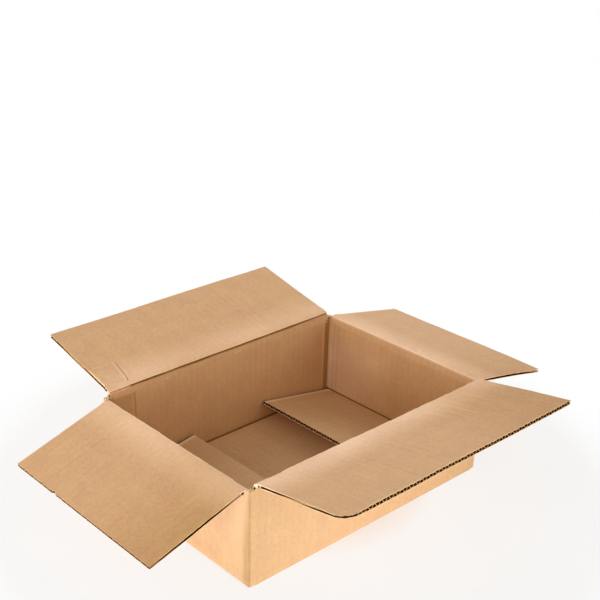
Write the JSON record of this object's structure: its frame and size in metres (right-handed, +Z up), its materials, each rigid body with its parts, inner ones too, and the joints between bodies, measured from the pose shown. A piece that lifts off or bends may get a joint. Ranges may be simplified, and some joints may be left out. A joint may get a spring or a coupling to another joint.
{
  "type": "corrugated shipping carton",
  "caption": "Plain slotted shipping carton in single-wall corrugated board, standing with its top flaps folded open.",
  "frame": {"origin": "on the ground under the middle of the carton", "axes": "+X along the carton's length to the right, +Y towards the back wall, +Z up"},
  "size_m": [0.5091, 0.4195, 0.1269],
  "materials": {
    "kraft_board": "matte"
  },
  "bodies": {
    "carton": {"box_body": "kraft_board"},
    "front_flap": {"front_long_flap": "kraft_board"},
    "back_flap": {"back_long_flap": "kraft_board"},
    "left_flap": {"left_short_flap": "kraft_board"},
    "right_flap": {"right_short_flap": "kraft_board"},
    "left_inner_flap": {"left_bottom_flap": "kraft_board"},
    "right_inner_flap": {"right_bottom_flap": "kraft_board"}
  },
  "joints": [
    {"name": "front_flap_crease", "type": "hinge", "parent": "carton", "child": "front_flap", "pos_m": [0, -0.1077, 0.1002], "axis": [1, 0, 0], "range_deg": [-169.5, 83.5]},
    {"name": "back_flap_crease", "type": "hinge", "parent": "carton", "child": "back_flap", "pos_m": [0, 0.1077, 0.1002], "axis": [-1, 0, 0], "range_deg": [-167.5, 85.5]},
    {"name": "left_flap_crease", "type": "hinge", "parent": "carton", "child": "left_flap", "pos_m": [-0.1527, 0, 0.0954], "axis": [0, -1, 0], "range_deg": [-197, 48]},
    {"name": "right_flap_crease", "type": "hinge", "parent": "carton", "child": "right_flap", "pos_m": [0.1527, 0, 0.0954], "axis": [0, 1, 0], "range_deg": [-192, 53]},
    {"name": "left_bottom_crease", "type": "hinge", "parent": "carton", "child": "left_inner_flap", "pos_m": [-0.1482, 0, 0.0083], "axis": [0, -1, 0], "range_deg": [-8.5, 76.5]},
    {"name": "right_bottom_crease", "type": "hinge", "parent": "carton", "child": "right_inner_flap", "pos_m": [0.1482, 0, 0.0083], "axis": [0, 1, 0], "range_deg": [-10.5, 74.5]}
  ]
}
